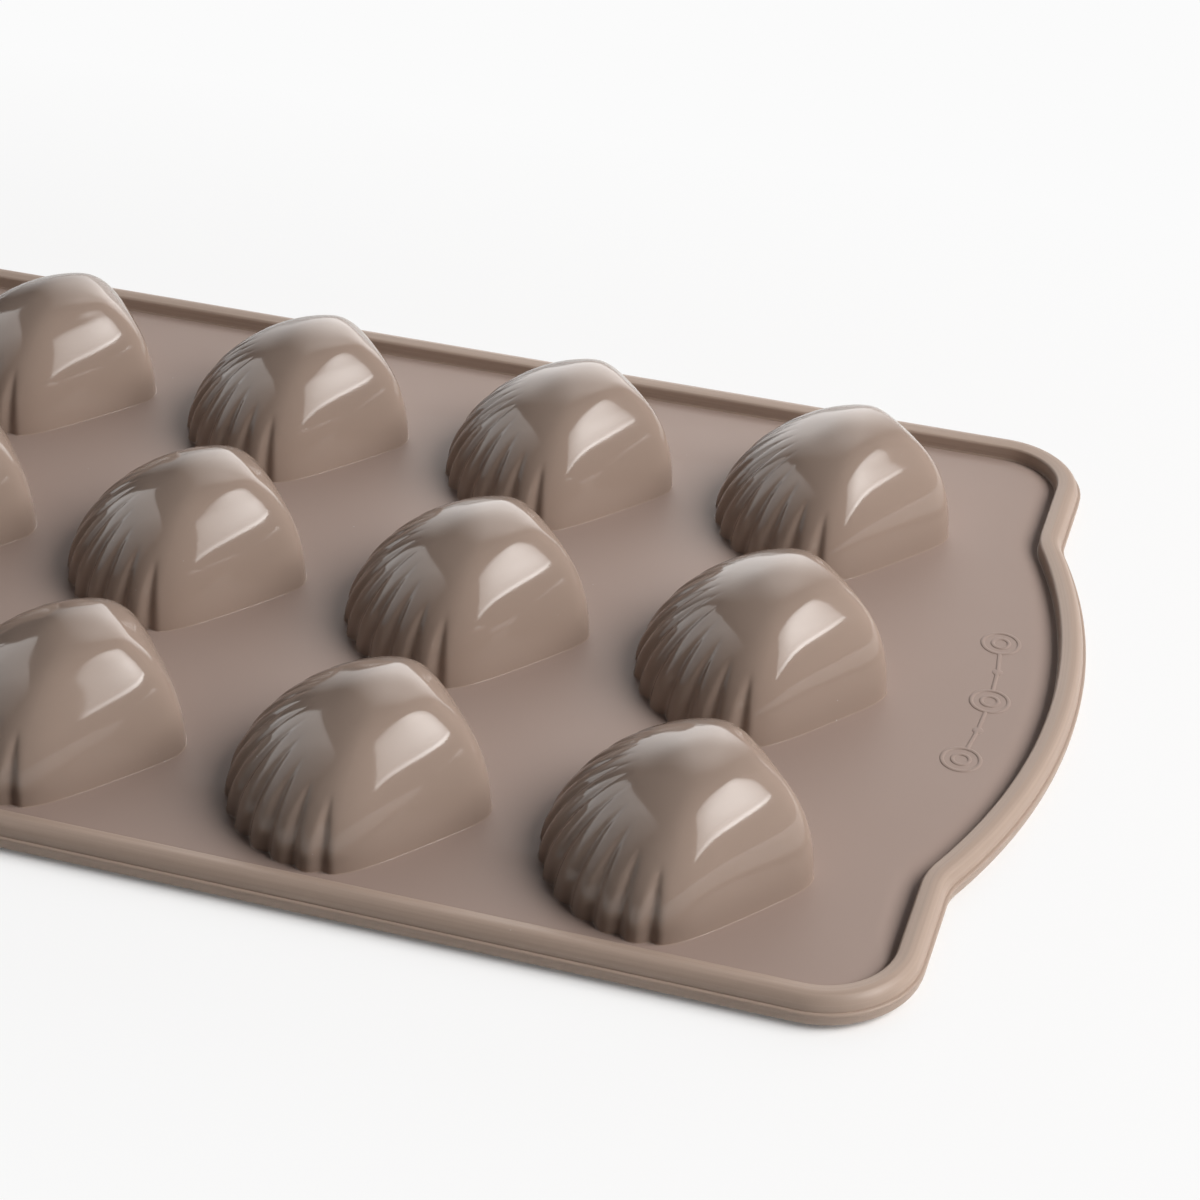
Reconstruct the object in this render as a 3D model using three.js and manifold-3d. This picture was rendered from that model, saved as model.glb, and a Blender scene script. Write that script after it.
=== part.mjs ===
// A silicone mould tray for shell-shaped sweets, lying upside down with its shell cups standing up.
// Fifteen scallop domes stand on a thin deck, and a thick rim with a steel wire in it goes all round.
// Millimetres, +Z up. The origin is the middle of the tray, on the table that it lies on.
import * as THREE from 'three';
import { mergeVertices } from 'three/addons/utils/BufferGeometryUtils.js';
import Module from 'manifold-3d';

const wasm = await Module();
wasm.setup();

// Shell cups: where they stand
const columnCount = 5;
const rowCount = 3;
const rowNames = ['front', 'middle', 'back'];
const cupGap = 5.2;           // from one fan's circle to the next one's, along rows and columns

// Deck left clear round the block of cups, from the fans' circles to the rim
const frontGap = 0.25;
const backGap = 7.05;
const leftGap = 13.7;
const rightGap = 10.1;

// Shell cups: their form. The outline is a round fan with two straight sides that meet at the hinge.
const fanRadius = 22.4;
const sideDistance = 16.3;    // from the fan's centre to each straight side
const sideAngle = 37.5;       // degrees between the shell's own line and the way a straight side faces
const cornerSharpness = 9;    // power that blends fan and sides, a higher one gives sharper corners
const crestShift = 2.3;       // the crest stands this far from the fan's centre, towards the hinge
const domeHeight = 20;
const hingeFullness = 2.25;   // powers of the dome's profile, 2 is an ellipse
const fanFullness = 1.7;
const cupWall = 1.6;

// Shell cups: the ribs, which fan out from the crest and fade out before it
const grooveSpacing = 12.3;   // degrees
const groovesPerSide = 7;     // on each side of the middle groove
const grooveDepth = 0.9;
const fadeStartShare = 0.48;  // of the outline's radius, where grooves begin behind the crest
const fadeEndShare = 0.8;     // and beside it
const fadeTurnPower = 4;      // how suddenly the start moves out from behind to beside
const fadeRisePower = 0.5;    // how soon a groove is deep, a lower one is sooner

// How finely a cup is faceted
const smoothSteps = 9;        // round the smooth side at the hinge
const outerLevels = 5;        // up the outside
const innerLevels = 3;        // up the inside

// Tray outline, the outermost edge seen from above. Its length and width follow from the cups.
const endBulge = 10.4;        // how far the curved handle stands out from each straight end
const bulgeHalfWidth = 49;    // half the width of that handle where it leaves the straight end
const cornerRadius = 15.5;
const bulgeFillet = 10;

// Deck
const deckThickness = 1.8;
const deckUnderside = 1.8;    // above the table
const deckClearance = 0.3;    // between the deck's edge and the rim

// Rim: a bead over a lip that stands on the table
const lipHeight = 2.35;
const lipLedge = 0.4;         // the lip stands out this far beyond the bead
const lipChamfer = 0.45;
const ledgeChamfer = 0.2;
const deckSeatWidth = 1.5;    // how much of the lip carries the deck's edge
const beadRadius = 2.9;
const beadSide = 0.4;         // upright part of the bead below its round top
const wireRadius = 1.25;
const wireClearance = 0.3;

// How finely the rim is faceted
const cornerSteps = 6;
const filletSteps = 2;
const bulgeSteps = 10;
const beadSteps = 6;
const grooveSteps = 4;
const wireSides = 6;

// Raised ornament on the deck: a string of plain rings and dots that follows the right end
const markHeight = 0.35;
const ringRadius = 3;
const markLine = 0.6;         // how wide a raised line is
const dotRadius = 0.9;
const markInset = 14;         // from the tray's outermost edge to the middle of the row
const markSpread = 8.5;       // from one mark to the next along the row
const markCount = 5;
const markSides = 12;

const degrees = Math.PI / 180;
const deckTop = deckUnderside + deckThickness;
const beadMiddle = lipLedge + beadRadius;             // inward from the outline
const beadInside = beadMiddle + beadRadius;
const wireCentre = [beadMiddle, lipHeight];
const grooveRadius = wireRadius + wireClearance;

// The tray is as long, over the straight parts of its ends, and as wide as the block of cups needs.
const cupPitch = 2 * fanRadius + cupGap;
const blockLength = 2 * fanRadius + (columnCount - 1) * cupPitch;
const blockWidth = 2 * fanRadius + (rowCount - 1) * cupPitch;
const halfEar = (leftGap + blockLength + rightGap) / 2 + beadInside;
const halfWidth = (frontGap + blockWidth + backGap) / 2 + beadInside;

// The handle at each end is an arc through the two points where it leaves the straight end.
const bulgeRadius = (bulgeHalfWidth ** 2 + endBulge ** 2) / (2 * endBulge);
const bulgeCentre = halfEar + endBulge - bulgeRadius;
const silicone = { roughness: 0.5, metalness: 0 };

function siliconeMaterial(color, roughness = silicone.roughness) {
  return new THREE.MeshStandardMaterial({ color, roughness, metalness: silicone.metalness });
}

// A closed mesh from rings of points, each joined to the next. The last ring joins the first when
// the surface closes on itself; otherwise each end runs together in a single point.
function meshFromRings(rings, closes) {
  const positions = [];
  const indices = [];
  const starts = rings.map((ring) => {
    const start = positions.length / 3;
    ring.forEach((point) => positions.push(...point));
    return start;
  });
  const joins = closes ? rings.length : rings.length - 1;
  for (let i = 0; i < joins; i += 1) {
    const next = (i + 1) % rings.length;
    const steps = Math.max(rings[i].length, rings[next].length);
    for (let j = 0; j < steps; j += 1) {
      const a = starts[i] + (j % rings[i].length);
      const b = starts[i] + ((j + 1) % rings[i].length);
      const c = starts[next] + (j % rings[next].length);
      const d = starts[next] + ((j + 1) % rings[next].length);
      if (a !== b) indices.push(a, b, d);
      if (c !== d) indices.push(a, d, c);
    }
  }
  const geometry = new THREE.BufferGeometry();
  geometry.setAttribute('position', new THREE.Float32BufferAttribute(positions, 3));
  geometry.setIndex(indices);
  geometry.computeVertexNormals();
  return geometry;
}

// Distance from the crest's foot to the shell's outline, in the direction of an angle. The hinge is
// at 0 degrees. The fan and the two straight sides are blended by a power, which rounds the corners.
function outlineRadius(angle, inset) {
  const across = crestShift * Math.cos(angle);
  const fan = fanRadius - inset;
  const toFan = -across + Math.sqrt(across * across - crestShift * crestShift + fan * fan);
  let sum = toFan ** -cornerSharpness;
  for (const side of [-sideAngle, sideAngle]) {
    const facing = Math.cos(angle - side * degrees);
    const distance = sideDistance - inset - crestShift * Math.cos(side * degrees);
    if (facing > 0) sum += (distance / facing) ** -cornerSharpness;
  }
  return sum ** (-1 / cornerSharpness);
}

// Angles round a cup: a step on each groove and on each rib between two grooves, then even steps.
function cupAngles() {
  const reach = (groovesPerSide + 0.5) * grooveSpacing;
  const ribbed = Array.from({ length: groovesPerSide * 4 + 3 }, (_, i) => ({
    angle: (180 - reach + (i * grooveSpacing) / 2) * degrees,
    inGroove: i % 2 === 1,
  }));
  const smoothSweep = 360 - reach * 2;
  const smooth = Array.from({ length: smoothSteps }, (_, i) => ({
    angle: (180 + reach + ((i + 1) * smoothSweep) / (smoothSteps + 1)) * degrees,
    inGroove: false,
  }));
  return [...ribbed, ...smooth];
}

// Share of a groove's full depth at a share of the outline's radius. It is 1 on the outline.
function grooveShare(angle, radiusShare) {
  const beside = Math.abs(Math.sin(angle)) ** fadeTurnPower;
  const start = fadeStartShare + (fadeEndShare - fadeStartShare) * beside;
  return THREE.MathUtils.clamp((radiusShare - start) / (1 - start), 0, 1) ** fadeRisePower;
}

// One ring of a cup's surface, at a climb of 0 on the foot and 1 on the crest.
function cupRing(angles, inset, climb) {
  if (climb === 1) return [[crestShift, 0, deckTop + domeHeight - inset]];
  return angles.map(({ angle, inGroove }) => {
    const towardsHinge = (1 + Math.cos(angle)) / 2;
    const power = 2 / (fanFullness + (hingeFullness - fanFullness) * towardsHinge);
    const share = Math.cos((climb * Math.PI) / 2) ** power;
    const height = (domeHeight - inset) * Math.sin((climb * Math.PI) / 2) ** power;
    const groove = inGroove ? grooveDepth * grooveShare(angle, share) : 0;
    const radius = outlineRadius(angle, inset) * share - groove;
    return [crestShift + radius * Math.cos(angle), radius * Math.sin(angle), deckTop + height];
  });
}

// A shell cup: up the outside from the foot to the crest, and the same way up the inside. The two
// surfaces are one closed skin, because the foot joins them all round.
function cupGeometry() {
  const angles = cupAngles();
  const outside = Array.from({ length: outerLevels + 1 }, (_, i) => cupRing(angles, 0, i / outerLevels));
  const inside = Array.from({ length: innerLevels + 1 }, (_, i) => (
    cupRing(angles, cupWall, i / innerLevels)));
  return meshFromRings([...inside.reverse(), ...outside], false);
}

// Points of the tray's outline, counterclockwise from above, each with the way out of the tray.
function trayOutline() {
  // The fillet between the straight end and the handle touches both from outside.
  const filletX = halfEar + bulgeFillet;
  const filletY = Math.sqrt((bulgeRadius + bulgeFillet) ** 2 - (filletX - bulgeCentre) ** 2);
  const turn = Math.atan2(filletY, filletX - bulgeCentre);
  const arc = (x, y, radius, from, to, steps, hollow = 1) => Array.from({ length: steps + 1 }, (_, i) => {
    const angle = from + ((to - from) * i) / steps;
    const out = [Math.cos(angle), Math.sin(angle)];
    return { x: x + radius * out[0], y: y + radius * out[1], out: [out[0] * hollow, out[1] * hollow] };
  });
  const cornerX = halfEar - cornerRadius;
  const cornerY = halfWidth - cornerRadius;
  const right = [
    ...arc(cornerX, -cornerY, cornerRadius, -Math.PI / 2, 0, cornerSteps),
    ...arc(filletX, -filletY, bulgeFillet, Math.PI, Math.PI - turn, filletSteps, -1),
    ...arc(bulgeCentre, 0, bulgeRadius, -turn, turn, bulgeSteps).slice(1, -1),
    ...arc(filletX, filletY, bulgeFillet, turn - Math.PI, -Math.PI, filletSteps, -1),
    ...arc(cornerX, cornerY, cornerRadius, 0, Math.PI / 2, cornerSteps),
  ];
  const left = right.map(({ x, y, out }) => ({ x: -x, y: -y, out: [-out[0], -out[1]] }));
  return [...right, ...left];
}

const outline = trayOutline();

// A hoop that follows the tray's outline. A profile point is how far it lies inside the outline and
// how high above the table, and the profile runs counterclockwise when inward is to the right.
function hoopGeometry(profile) {
  const rings = profile.map(([inward, height]) => outline.map(({ x, y, out }) => (
    [x - out[0] * inward, y - out[1] * inward, height])));
  return meshFromRings(rings.reverse(), true);
}

function arcProfile(centre, radius, from, to, steps) {
  return Array.from({ length: steps + 1 }, (_, i) => {
    const angle = (from + ((to - from) * i) / steps) * degrees;
    return [centre[0] + radius * Math.cos(angle), centre[1] + radius * Math.sin(angle)];
  });
}

function rimBead() {
  const top = [beadMiddle, lipHeight + beadSide];
  const profile = [
    [lipLedge, lipHeight],
    ...arcProfile(wireCentre, grooveRadius, 180, 0, grooveSteps),
    [beadInside, lipHeight],
    ...arcProfile(top, beadRadius, 0, 180, beadSteps),
  ];
  return hoopGeometry(profile);
}

function rimLip() {
  const seatEnd = beadInside + deckClearance + deckSeatWidth;
  const profile = [
    [lipChamfer, 0],
    [seatEnd - lipChamfer, 0],
    [seatEnd, lipChamfer],
    [seatEnd, deckUnderside],
    [beadInside, deckUnderside],
    [beadInside, lipHeight],
    ...arcProfile(wireCentre, grooveRadius, 0, -180, grooveSteps),
    [ledgeChamfer, lipHeight],
    [0, lipHeight - ledgeChamfer],
    [0, lipChamfer],
  ];
  return hoopGeometry(profile);
}

function rimWire() {
  return hoopGeometry(arcProfile(wireCentre, wireRadius, 0, 360, wireSides).slice(0, wireSides));
}

// Centre of a cup's fan, seen from above, counted from the front left corner of the block of cups.
function cupPlace(row, column) {
  return [
    beadInside + leftGap + fanRadius + column * cupPitch - halfEar,
    beadInside + frontGap + fanRadius + row * cupPitch - halfWidth,
  ];
}

// The deck: a plate inside the rim with a shell-shaped hole under each cup's cavity.
function deckGeometry() {
  const edge = beadInside + deckClearance;
  const plate = new THREE.Shape(outline.map(({ x, y, out }) => (
    new THREE.Vector2(x - out[0] * edge, y - out[1] * edge))));
  const hole = cupRing(cupAngles(), cupWall, 0);
  for (let row = 0; row < rowCount; row += 1) {
    for (let column = 0; column < columnCount; column += 1) {
      const [x, y] = cupPlace(row, column);
      plate.holes.push(new THREE.Path(hole.map((point) => new THREE.Vector2(point[0] + x, point[1] + y))));
    }
  }
  const geometry = new THREE.ExtrudeGeometry(plate, { depth: deckThickness, bevelEnabled: false });
  return geometry.translate(0, 0, deckUnderside);
}

function ringGeometry() {
  const inner = ringRadius - markLine / 2;
  const outer = ringRadius + markLine / 2;
  const section = [
    new THREE.Vector2(inner, 0),
    new THREE.Vector2(outer, 0),
    new THREE.Vector2(outer, markHeight),
    new THREE.Vector2(inner, markHeight),
    new THREE.Vector2(inner, 0),
  ];
  return new THREE.LatheGeometry(section, markSides).rotateX(Math.PI / 2);
}

function dotGeometry() {
  return new THREE.CylinderGeometry(dotRadius, dotRadius, markHeight, markSides)
    .rotateX(Math.PI / 2)
    .translate(0, 0, markHeight / 2);
}

function toSolid(geometry) {
  const bare = withoutExtras(geometry);
  return new wasm.Manifold(new wasm.Mesh({
    numProp: 3,
    vertProperties: bare.attributes.position.array,
    triVerts: new Uint32Array(bare.index.array),
  }));
}

function toGeometry(solid) {
  const mesh = solid.getMesh();
  const geometry = new THREE.BufferGeometry();
  geometry.setAttribute('position', new THREE.Float32BufferAttribute(mesh.vertProperties, 3));
  geometry.setIndex([...mesh.triVerts]);
  return geometry;
}

// Rings and dots take turns along the curve of the right-hand handle, and a straight raised line
// joins each ring to the dot beside it.
function deckMarks() {
  const rowRadius = bulgeRadius - markInset;
  const centre = new THREE.Vector2(bulgeCentre, 0);
  const places = Array.from({ length: markCount }, (_, i) => {
    const angle = ((i - (markCount - 1) / 2) * markSpread) / rowRadius;
    return new THREE.Vector2(Math.cos(angle), Math.sin(angle)).multiplyScalar(rowRadius).add(centre);
  });
  const pieces = places.map(({ x, y }, i) => (
    toSolid((i % 2 === 0 ? ringGeometry() : dotGeometry()).translate(x, y, deckTop))));
  places.slice(1).forEach((place, i) => {
    const ring = i % 2 === 0 ? places[i] : place;
    const dot = i % 2 === 0 ? place : places[i];
    const step = dot.clone().sub(ring);
    const length = step.length() - ringRadius;
    const middle = dot.clone().addScaledVector(step.clone().normalize(), -length / 2);
    const line = new THREE.BoxGeometry(length, markLine, markHeight)
      .rotateZ(step.angle())
      .translate(middle.x, middle.y, deckTop + markHeight / 2);
    pieces.push(toSolid(line));
  });
  return toGeometry(pieces.reduce((joined, piece) => joined.add(piece)));
}

function withoutExtras(geometry) {
  const bare = geometry.clone();
  bare.deleteAttribute('normal');
  bare.deleteAttribute('uv');
  return mergeVertices(bare);
}

function closedMesh(name, geometry, material) {
  const mesh = new THREE.Mesh(withoutExtras(geometry), material);
  mesh.name = name;
  return mesh;
}

const tray = new THREE.Group();
const satin = siliconeMaterial('#9e8e82');
const glossy = siliconeMaterial('#96867a', 0.3);
const steel = new THREE.MeshStandardMaterial({ color: '#b8babc', roughness: 0.3, metalness: 1 });

tray.add(closedMesh('deck', deckGeometry(), satin));
tray.add(closedMesh('rim_bead', rimBead(), satin));
tray.add(closedMesh('rim_lip', rimLip(), satin));
tray.add(closedMesh('rim_wire', rimWire(), steel));
tray.add(closedMesh('deck_marks', deckMarks(), satin));

const cup = cupGeometry();
for (let row = 0; row < rowCount; row += 1) {
  for (let column = 0; column < columnCount; column += 1) {
    const [x, y] = cupPlace(row, column);
    const mesh = closedMesh(`cup_${rowNames[row]}_${column + 1}`, cup, glossy);
    mesh.position.set(x, y, 0);
    tray.add(mesh);
  }
}

export default tray;
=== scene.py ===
# %% [markdown]
# # A silicone mould tray for shell-shaped sweets
#
# The real tray is one soft moulding, and here it lies upside down, so that its fifteen scallop cups
# stand up like small domes. The construction model is loaded first and never changed. Every piece
# below is built round it, at its real size in metres, and stands for one of its nodes.

# %% Load the fixed frame
import math

import bmesh
import bpy
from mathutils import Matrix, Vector


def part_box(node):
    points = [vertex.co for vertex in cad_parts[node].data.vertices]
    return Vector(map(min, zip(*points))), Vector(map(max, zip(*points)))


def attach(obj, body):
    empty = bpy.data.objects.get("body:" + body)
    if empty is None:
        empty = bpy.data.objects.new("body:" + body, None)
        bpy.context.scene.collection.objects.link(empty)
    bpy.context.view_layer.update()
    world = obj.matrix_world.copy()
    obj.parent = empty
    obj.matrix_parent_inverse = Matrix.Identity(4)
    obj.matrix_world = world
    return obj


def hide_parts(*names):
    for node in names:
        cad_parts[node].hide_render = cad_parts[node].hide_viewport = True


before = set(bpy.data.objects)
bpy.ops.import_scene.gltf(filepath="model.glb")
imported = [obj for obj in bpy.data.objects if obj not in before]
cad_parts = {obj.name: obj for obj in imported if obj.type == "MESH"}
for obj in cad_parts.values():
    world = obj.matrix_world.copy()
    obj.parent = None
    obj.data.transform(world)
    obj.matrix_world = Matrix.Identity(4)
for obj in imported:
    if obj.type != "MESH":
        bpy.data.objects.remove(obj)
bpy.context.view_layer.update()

MM = 0.001

# %% [markdown]
# ## The camera
#
# The photograph was taken from the front right, looking down at about 33 degrees through a long
# lens. A long lens keeps the far cups nearly as large as the near ones, and the picture is cropped
# so close that the left end of the tray runs out of it. Place and angles come from matching the
# lattice of cups in the picture.


# %% Camera
def in_scene(name, data):
    """A new object with this data, linked to the scene."""
    made = bpy.data.objects.new(name, data)
    bpy.context.scene.collection.objects.link(made)
    return made


camera_place = Vector((183.8, -388.3, 275.1)) * MM
camera_angles = [math.radians(angle) for angle in (56.628, -1.354, 17.024)]
camera_lens = 88.4
camera_data = bpy.data.cameras.new("camera")
camera_data.lens = camera_lens
camera_data.sensor_width = 36
camera_data.clip_start = 0.01
camera = in_scene("camera", camera_data)
camera.location = camera_place
camera.rotation_euler = camera_angles
bpy.context.scene.camera = camera
bpy.context.scene.view_settings.view_transform = "Standard"
print("camera stands", round(camera_place.length / MM), "mm from the middle of the tray")

# %% [markdown]
# ## Formulas as node trees
#
# Both the shapes and the finishes below are formulas, and Blender keeps formulas as node trees. A
# long formula is hard to read as a list of nodes and links, so one small class wraps a socket and
# lets Python's own operators add the Math nodes. Everything else goes through one method that adds
# a node from its type, its settings and its sockets.


# %% Two helpers for node trees
class Field:
    """One socket of a tree. A sum with it adds a Math node and gives that node's socket."""

    def __init__(self, tree, socket):
        self.tree = tree
        self.socket = socket

    def maths(self, operation, *values):
        return self.tree.add("ShaderNodeMath", {"operation": operation}, dict(enumerate(values)))["Value"]

    def __add__(self, other):
        return self.maths("ADD", self, other)

    def __radd__(self, other):
        return self.maths("ADD", other, self)

    def __sub__(self, other):
        return self.maths("SUBTRACT", self, other)

    def __rsub__(self, other):
        return self.maths("SUBTRACT", other, self)

    def __mul__(self, other):
        return self.maths("MULTIPLY", self, other)

    def __rmul__(self, other):
        return self.maths("MULTIPLY", other, self)

    def __truediv__(self, other):
        return self.maths("DIVIDE", self, other)

    def __rtruediv__(self, other):
        return self.maths("DIVIDE", other, self)

    def __pow__(self, other):
        return self.maths("POWER", self, other)

    def __rpow__(self, other):
        return self.maths("POWER", other, self)

    def cos(self):
        return self.maths("COSINE", self)

    def sin(self):
        return self.maths("SINE", self)

    def root(self):
        return self.maths("SQRT", self)

    def least(self, other):
        return self.maths("MINIMUM", self, other)

    def most(self, other):
        return self.maths("MAXIMUM", self, other)

    def above(self, other):
        return self.maths("GREATER_THAN", self, other)

    def clamped(self):
        return self.most(0).least(1)


class Tree:
    """A node tree that is filled by plain calls."""

    def __init__(self, nodes):
        self.nodes = nodes

    def add(self, kind, settings=None, sockets=None):
        """Adds a node: its settings first, then a value or a link for each socket, by name or number."""
        node = self.nodes.nodes.new(kind)
        for name, value in (settings or {}).items():
            setattr(node, name, value)
        for key, value in (sockets or {}).items():
            if isinstance(key, str):
                socket = next(s for s in node.inputs if s.enabled and s.name == key)
            else:
                socket = node.inputs[key]
            if isinstance(value, Field):
                self.nodes.links.new(value.socket, socket)
            else:
                socket.default_value = value
        return {s.name: Field(self, s) for s in node.outputs if s.enabled}


print("helpers ready")

# %% [markdown]
# ## Running a Geometry Nodes tree
#
# A tree is a recipe with named inputs. A modifier runs it on an object. The result is copied into a
# plain mesh straight away, because a finished piece is easier to keep, check and export when nothing
# on it is still being worked out.


# %% Make a tree, and bake a piece from it
crease_angle = math.radians(40)


def geometry_tree(name, inputs):
    """An empty Geometry Nodes tree with these inputs, each a socket type and a default value."""
    group = bpy.data.node_groups.new(name, "GeometryNodeTree")
    for label, (kind, value) in inputs.items():
        socket = group.interface.new_socket(label, in_out="INPUT", socket_type=kind)
        if value is not None:
            socket.default_value = value
    group.interface.new_socket("Geometry", in_out="OUTPUT", socket_type="NodeSocketGeometry")
    tree = Tree(group)
    return tree, tree.add("NodeGroupInput")


def finish_tree(tree, geometry, material):
    """Ends a tree in Realize Instances and Set Material."""
    real = tree.add("GeometryNodeRealizeInstances", {}, {"Geometry": geometry})["Geometry"]
    done = tree.add("GeometryNodeSetMaterial", {}, {"Geometry": real, "Material": material})["Geometry"]
    tree.add("NodeGroupOutput", {}, {"Geometry": done})
    return tree.nodes


def bake(name, group, values, base=None):
    """Runs a tree with these input values and returns the result as a plain mesh object."""
    holder = in_scene("holder", base or bpy.data.meshes.new("holder"))
    modifier = holder.modifiers.new("recipe", "NODES")
    modifier.node_group = group
    for item in group.interface.items_tree:
        if item.in_out == "INPUT" and item.name in values:
            modifier[item.identifier] = values[item.name]
    depsgraph = bpy.context.evaluated_depsgraph_get()
    mesh = bpy.data.meshes.new_from_object(holder.evaluated_get(depsgraph), depsgraph=depsgraph)
    bpy.data.objects.remove(holder)
    mesh.name = name
    mesh.set_sharp_from_angle(angle=crease_angle)
    return in_scene(name, mesh)


def finish_piece(piece, slot, *nodes):
    """Rides the piece on the tray's body, hides the nodes it stands for and prints its size. The slot is not
    used.
    """
    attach(piece, "root")
    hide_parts(*nodes)
    mesh = piece.data
    mesh.calc_loop_triangles()
    corners = [mesh.vertices[i].co for t in mesh.loop_triangles for i in t.vertices]
    volume = sum(a.dot(b.cross(c)) for a, b, c in zip(*[iter(corners)] * 3)) / 6
    print(f"{piece.name}: {len(mesh.loop_triangles)} triangles, {volume / MM ** 3 / 1000:.2f} cm3")


print("edges sharper than", round(math.degrees(crease_angle)), "degrees stay crisp")

# %% [markdown]
# ## Silicone
#
# Moulded silicone is one even warm grey-brown all through, so what tells it from paint is its
# surface. The cups were cast against polished metal and mirror the studio. The deck and the rim were
# cast against a finely blasted face and are satin. The rim's colour is painted lighter than the
# deck's, as painted light. Handling leaves faint smudges, and the soft surface holds on to dust. One
# recipe makes both finishes: the colour drifts a little, the roughness is clouded by smudges, sparse
# specks are paler, and two bumps add a fine grain and a slow wave. On the rim, faint lines run
# lengthwise, as a cutter leaves them in the mould.


# %% Silicone finishes
def new_material(name):
    """A material, and its tree with nothing in it yet."""
    material = bpy.data.materials.new(name)
    material.use_nodes = True
    material.node_tree.nodes.clear()
    return material, Tree(material.node_tree)


def mixed(tree, factor, first, second):
    """A colour between two colours."""
    return tree.add("ShaderNodeMix", {"data_type": "RGBA"}, {
        "Factor": factor, "A": first, "B": second})["Result"]


def lengthwise_streaks(tree, place):
    """Lines along a hoop. Its section_share attribute says how far round the section a point lies."""
    streak_count = 35
    fading_length = 60 * MM
    x_y = tree.add("ShaderNodeSeparateXYZ", {}, {"Vector": place})
    share = tree.add("ShaderNodeAttribute", {"attribute_name": "section_share"})["Fac"]
    line = tree.add("ShaderNodeCombineXYZ", {}, {
        "X": share * streak_count, "Y": x_y["X"] / fading_length, "Z": x_y["Y"] / fading_length})["Vector"]
    return tree.add("ShaderNodeTexNoise", {}, {"Vector": line, "Scale": 1.0, "Detail": 1.0})["Fac"]


def silicone(name, colour, roughness, smudge, grain, wave, wave_size, streaked=False):
    """A moulded silicone. Grain and wave are heights, wave_size is a length, and a hoop may be streaked."""
    material, tree = new_material(name)
    place = tree.add("ShaderNodeTexCoord")["Object"]

    def noise(size, detail, seed):
        return tree.add("ShaderNodeTexNoise", {"noise_dimensions": "4D"}, {
            "Vector": place, "W": seed, "Scale": 1 / size, "Detail": detail})["Fac"]

    drift = noise(size=45 * MM, detail=2.0, seed=1.0)
    clouds = noise(size=16 * MM, detail=4.0, seed=5.0)
    slow = noise(size=wave_size, detail=1.0, seed=13.0)
    if streaked:
        streak_contrast = 2.0
        streak_height = 0.3
        streaks = lengthwise_streaks(tree, place)
        drift = drift + streak_contrast * (streaks - 0.5)
        slow = slow + streak_height * streaks

    # Each cell of the Voronoi pattern has one speck of dust at most, of its own size.
    speck_spacing = 3.2 * MM
    bare_cells = 0.72
    smallest_speck = 0.012
    speck_spread = 0.03
    dust_cover = 0.7
    dust_roughness = 0.3
    spot = tree.add("ShaderNodeTexVoronoi", {"feature": "F1"}, {"Vector": place, "Scale": 1 / speck_spacing})
    cell = tree.add("ShaderNodeSeparateColor", {}, {"Color": spot["Color"]})
    speck_width = smallest_speck + speck_spread * cell["Green"]
    speck = (speck_width - spot["Distance"]).above(0) * cell["Red"].above(bare_cells)

    darkest = 0.94
    palest = 1.05
    seen_through_dust = 0.55
    dust_grey = 0.3
    deep = [c * darkest for c in colour] + [1]
    pale = [min(c * palest, 1) for c in colour] + [1]
    dust = [c * seen_through_dust + dust_grey for c in colour] + [1]
    surface = mixed(tree, speck * dust_cover, mixed(tree, drift, deep, pale), dust)
    rough = roughness + smudge * (clouds - 0.5) + speck * dust_roughness
    grain_bump = tree.add("ShaderNodeBump", {}, {
        "Strength": 1.0, "Distance": grain, "Height": noise(size=0.35 * MM, detail=2.0, seed=9.0)})["Normal"]
    wave_bump = tree.add("ShaderNodeBump", {}, {
        "Strength": 1.0, "Distance": wave, "Height": slow, "Normal": grain_bump})["Normal"]
    shader = tree.add("ShaderNodeBsdfPrincipled", {}, {
        "Base Color": surface, "Roughness": rough, "Normal": wave_bump, "IOR": 1.43})["BSDF"]
    tree.add("ShaderNodeOutputMaterial", {}, {"Surface": shader})
    material.diffuse_color = [*colour, 1]
    return material


satin_silicone = silicone(
    "satin_silicone", (0.338, 0.256, 0.222),
    roughness=0.52, smudge=0.12, grain=0.006 * MM, wave=0.35 * MM, wave_size=40 * MM)
# The rim is the same silicone as the deck, but its colour is painted lighter: painted light on the bead and
# the lip.
lit_rim_silicone = silicone(
    "lit_rim_silicone", (0.4, 0.306, 0.251),
    roughness=0.42, smudge=0.12, grain=0.006 * MM, wave=0.12 * MM, wave_size=18 * MM, streaked=True)
polished_silicone = silicone(
    "polished_silicone", (0.34, 0.259, 0.214),
    roughness=0.085, smudge=0.06, grain=0.0008 * MM, wave=0.1 * MM, wave_size=14 * MM)
print("silicones:", satin_silicone.name, lit_rim_silicone.name, polished_silicone.name)

# %% [markdown]
# ## Steel wire
#
# The wire inside the rim shows only when the tray is taken apart. Plain bright steel would look like
# chrome, so a fine noise makes its polish slightly uneven, as drawn wire has it.


# %% Wire finish
def drawn_wire(name):
    """Bright steel wire with a faintly uneven polish."""
    material, tree = new_material(name)
    place = tree.add("ShaderNodeTexCoord")["Object"]
    mark_size = 0.6 * MM
    marks = tree.add("ShaderNodeTexNoise", {}, {
        "Vector": place, "Scale": 1 / mark_size, "Detail": 3.0})["Fac"]
    shader = tree.add("ShaderNodeBsdfPrincipled", {}, {
        "Base Color": (0.6, 0.6, 0.61, 1), "Metallic": 1.0, "Roughness": 0.22 + 0.16 * marks})["BSDF"]
    tree.add("ShaderNodeOutputMaterial", {}, {"Surface": shader})
    return material


wire_steel = drawn_wire("wire_steel")
print("finishes:", [material.name for material in bpy.data.materials if material.node_tree])

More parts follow.
